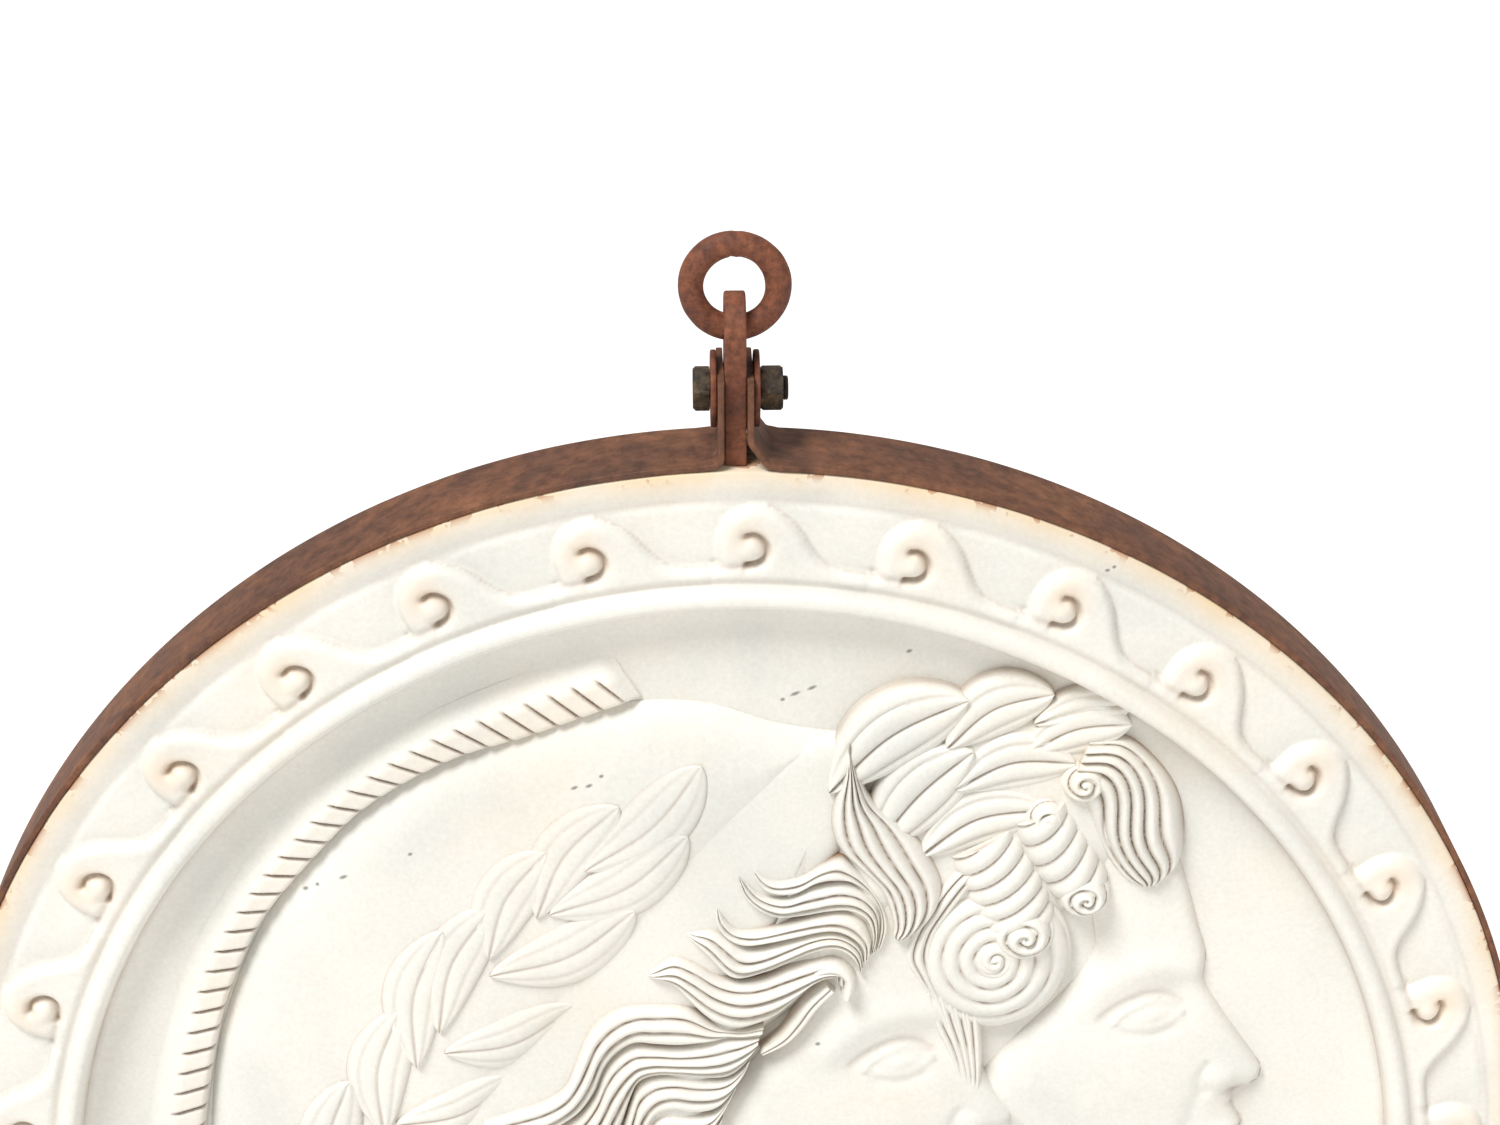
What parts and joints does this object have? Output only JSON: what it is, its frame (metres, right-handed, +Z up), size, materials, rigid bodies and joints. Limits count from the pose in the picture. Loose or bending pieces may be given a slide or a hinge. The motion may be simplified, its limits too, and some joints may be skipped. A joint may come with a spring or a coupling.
{
  "type": "relief roundel",
  "caption": "Round marble relief of two heads in profile inside a running wave border, held in an iron strap with a bar and ring for hanging.",
  "frame": {"origin": "inner top of the hanging ring, where a hook bears, in the middle of the slab's thickness", "axes": "+Z up, +X to the right as seen from the front, the carved face towards -Y"},
  "size_m": [0.8066, 0.0655, 0.9114],
  "materials": {
    "marble": "honed and weathered",
    "strap_iron": "rusted",
    "hanger_iron": "rusted",
    "bolt_steel": "rusted"
  },
  "bodies": {
    "root": {"marble_roundel": "marble", "iron_strap": "strap_iron", "hanger_bar": "hanger_iron", "hanging_ring": "hanger_iron", "washer_left": "hanger_iron", "washer_right": "hanger_iron", "clamp_bolt": "bolt_steel", "clamp_nut": "bolt_steel"}
  },
  "joints": []
}
